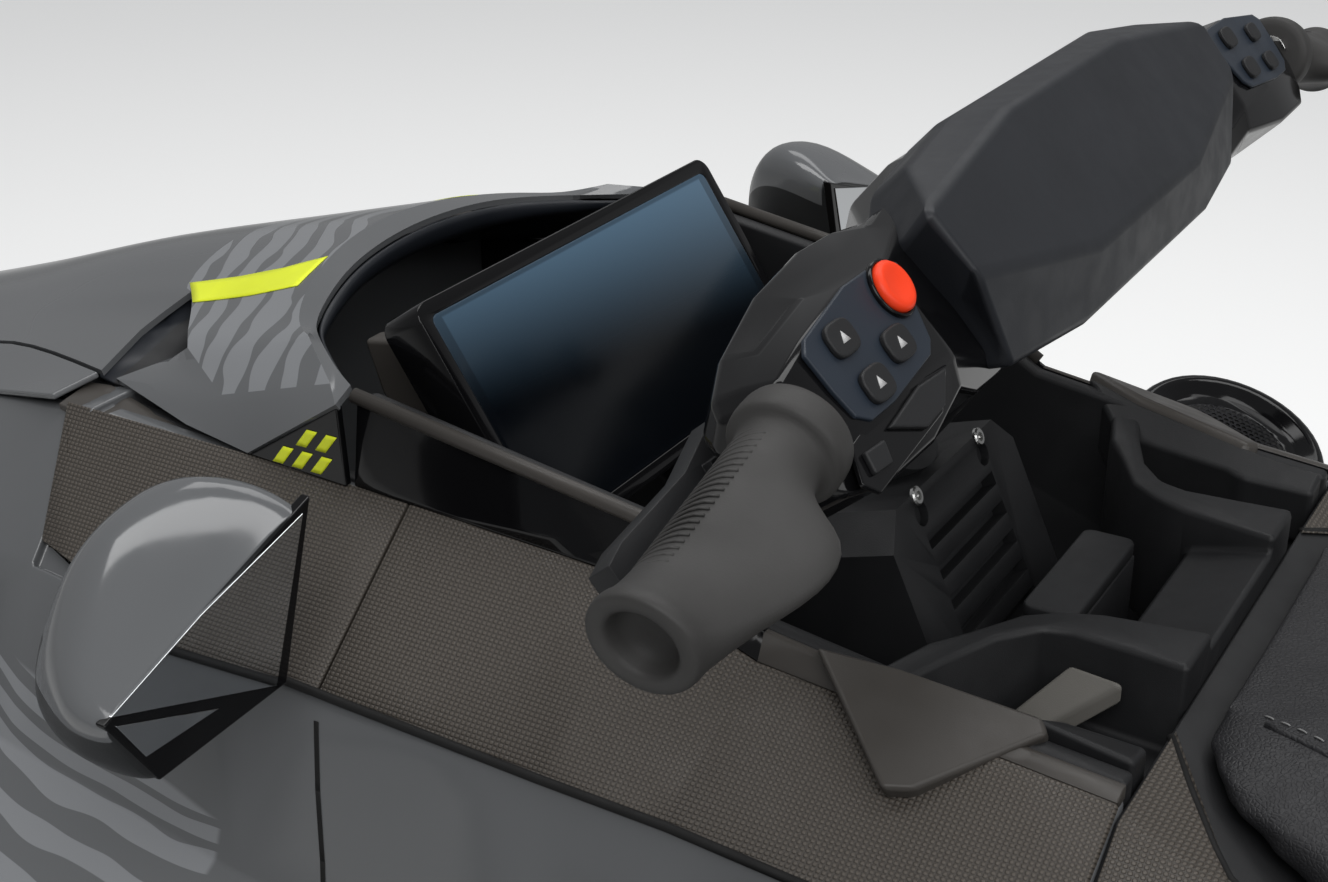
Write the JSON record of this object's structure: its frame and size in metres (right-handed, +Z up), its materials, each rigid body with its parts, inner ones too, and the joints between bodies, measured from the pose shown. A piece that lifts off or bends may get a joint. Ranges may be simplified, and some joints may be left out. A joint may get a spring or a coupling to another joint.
{
  "type": "personal watercraft",
  "caption": "Three-seat personal watercraft with turning bars and jet nozzle, opening front lid, reverse gate, boarding step and a tilted display.",
  "frame": {"origin": "on the waterline at mid-length, on the centreline", "axes": "+X forward, +Y to port, +Z up"},
  "size_m": [3.4345, 1.272, 1.1323],
  "materials": {
    "body_gloss": "polished grey gelcoat",
    "hull_gloss": "gloss dark grey hull",
    "dark_matte": "fine-grained moulded plastic",
    "textured": "close dimpled grip texture",
    "gloss_black": "polished black plastic",
    "seat_vinyl": "grained marine vinyl",
    "mat_foam": "ribbed closed-cell foam",
    "screen_glass": "polished dark cover glass",
    "mirror_glass": "mirror",
    "grip_rubber": "moulded grip rubber",
    "rub_rubber": "extruded rub rail",
    "aluminium": "cast and machined",
    "steel": "stainless steel",
    "start_red": "satin red-orange"
  },
  "bodies": {
    "root": {"hull": "hull_gloss", "engine": "aluminium", "bumper": "rub_rubber", "deck": "body_gloss", "platform": "body_gloss", "bow_deck": "body_gloss", "nose_trim": "dark_matte", "textured_panels": "textured", "gloss_trims": "gloss_black", "console": "dark_matte", "column_cover": "dark_matte", "console_arms": "dark_matte", "glovebox": "dark_matte", "display_case": "gloss_black", "display_screen": "screen_glass", "mirror_housings": "body_gloss", "mirror_glasses": "mirror_glass", "speaker_pods": "gloss_black", "speaker_grilles": "dark_matte", "seat_front": "seat_vinyl", "seat_rear": "seat_vinyl", "footwell_mats": "mat_foam", "platform_mat": "mat_foam", "grab_handle": "dark_matte", "sponsons": "dark_matte", "ride_plate": "dark_matte", "intake_grate": "aluminium", "pump_housing": "aluminium", "step_brackets": "steel", "bow_eye": "steel", "stern_eyes": "steel"},
    "steering": {"handlebar_pad": "dark_matte", "handlebar_cowl": "gloss_black", "steering_column": "dark_matte", "control_pods": "gloss_black", "handlebar_tube": "steel", "grips": "grip_rubber", "brake_lever": "dark_matte", "throttle_lever": "dark_matte", "start_button": "start_red", "control_buttons": "dark_matte"},
    "impeller": {"impeller": "steel"},
    "nozzle": {"nozzle": "aluminium"},
    "reverse_gate": {"reverse_gate": "dark_matte"},
    "boarding_step": {"boarding_step": "steel"},
    "hood": {"hood": "body_gloss"},
    "glovebox_lid": {"glovebox_lid": "dark_matte"}
  },
  "joints": [
    {"name": "steering_turn", "type": "hinge", "parent": "root", "child": "steering", "pos_m": [0.224, 0, 0.657], "axis": [-0.5736, 0, 0.8192], "range_deg": [-25, 25]},
    {"name": "nozzle_turn", "type": "hinge", "parent": "root", "child": "nozzle", "pos_m": [-1.6, 0, -0.082], "axis": [0, 0, 1], "range_deg": [-20, 20]},
    {"name": "impeller_spin", "type": "hinge", "parent": "root", "child": "impeller", "pos_m": [-1.385, 0, -0.082], "axis": [1, 0, 0], "continuous": true},
    {"name": "gate_swing", "type": "hinge", "parent": "root", "child": "reverse_gate", "pos_m": [-1.6, 0, -0.082], "axis": [0, 1, 0], "range_deg": [-65, 0]},
    {"name": "hood_lift", "type": "hinge", "parent": "root", "child": "hood", "pos_m": [1.48, 0, 0.4243], "axis": [0, 1, 0], "range_deg": [0, 55]},
    {"name": "glovebox_lift", "type": "hinge", "parent": "root", "child": "glovebox_lid", "pos_m": [0.122, 0, 0.5863], "axis": [0, 1, 0], "range_deg": [0, 70]},
    {"name": "step_swing", "type": "hinge", "parent": "root", "child": "boarding_step", "pos_m": [-1.664, 0, -0.03], "axis": [0, 1, 0], "range_deg": [-170, 0]}
  ],
  "couplings": [
    {"joint": "nozzle_turn", "follows": "steering_turn", "ratio": -0.8}
  ]
}
